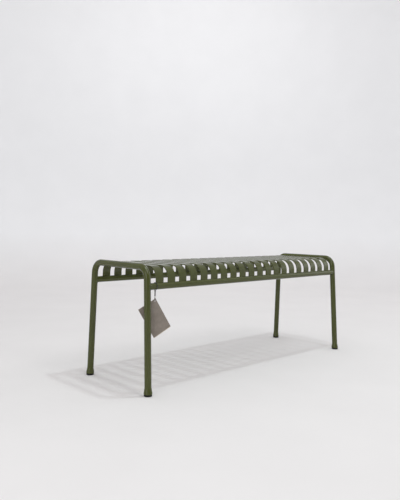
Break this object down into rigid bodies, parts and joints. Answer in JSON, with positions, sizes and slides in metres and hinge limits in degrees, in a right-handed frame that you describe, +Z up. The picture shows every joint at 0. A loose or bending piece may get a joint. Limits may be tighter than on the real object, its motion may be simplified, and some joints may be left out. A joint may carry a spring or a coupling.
{
  "type": "backless bench",
  "caption": "Backless outdoor bench: bent-tube end frames, two tubular rails and a seat of cross slats bent down over the rails, with a hang tag.",
  "frame": {"origin": "on the floor, under the middle of the bench", "axes": "+X along the bench, +Y from the side that carries the hang tag to the other side, +Z up"},
  "size_m": [1.2129, 0.4012, 0.46],
  "materials": {
    "olive_powder_coat": "satin",
    "black_glide_plastic": "satin",
    "black_cord": "matte",
    "pale_crimp": "satin",
    "grey_card": "matte",
    "tan_card": "matte"
  },
  "bodies": {
    "bench": {"left_end_frame": "olive_powder_coat", "right_end_frame": "olive_powder_coat", "front_rail": "olive_powder_coat", "back_rail": "olive_powder_coat", "slat_01": "olive_powder_coat", "slat_02": "olive_powder_coat", "slat_03": "olive_powder_coat", "slat_04": "olive_powder_coat", "slat_05": "olive_powder_coat", "slat_06": "olive_powder_coat", "slat_07": "olive_powder_coat", "slat_08": "olive_powder_coat", "slat_09": "olive_powder_coat", "slat_10": "olive_powder_coat", "slat_11": "olive_powder_coat", "slat_12": "olive_powder_coat", "slat_13": "olive_powder_coat", "slat_14": "olive_powder_coat", "slat_15": "olive_powder_coat", "slat_16": "olive_powder_coat", "slat_17": "olive_powder_coat", "slat_18": "olive_powder_coat", "slat_19": "olive_powder_coat", "slat_20": "olive_powder_coat", "glide_left_front": "black_glide_plastic", "glide_left_back": "black_glide_plastic", "glide_right_front": "black_glide_plastic", "glide_right_back": "black_glide_plastic", "rail_weld_beads": "olive_powder_coat", "slat_weld_beads": "olive_powder_coat"},
    "tag_hitch": {"tag_cord": "black_cord", "tag_knot": "black_cord", "tag_crimp": "pale_crimp"},
    "tag": {"tag_loop": "black_cord", "tag_front_card": "grey_card", "tag_back_card": "tan_card"}
  },
  "joints": [
    {"name": "tag_swing", "type": "hinge", "parent": "bench", "child": "tag_hitch", "pos_m": [-0.5518, -0.16945, 0.378], "axis": [1, 0, 0], "range_deg": [0, 60]},
    {"name": "tag_twist", "type": "hinge", "parent": "tag_hitch", "child": "tag", "pos_m": [-0.5518, -0.16945, 0.3402], "axis": [0, 0, 1], "range_deg": [-110, 0]}
  ]
}
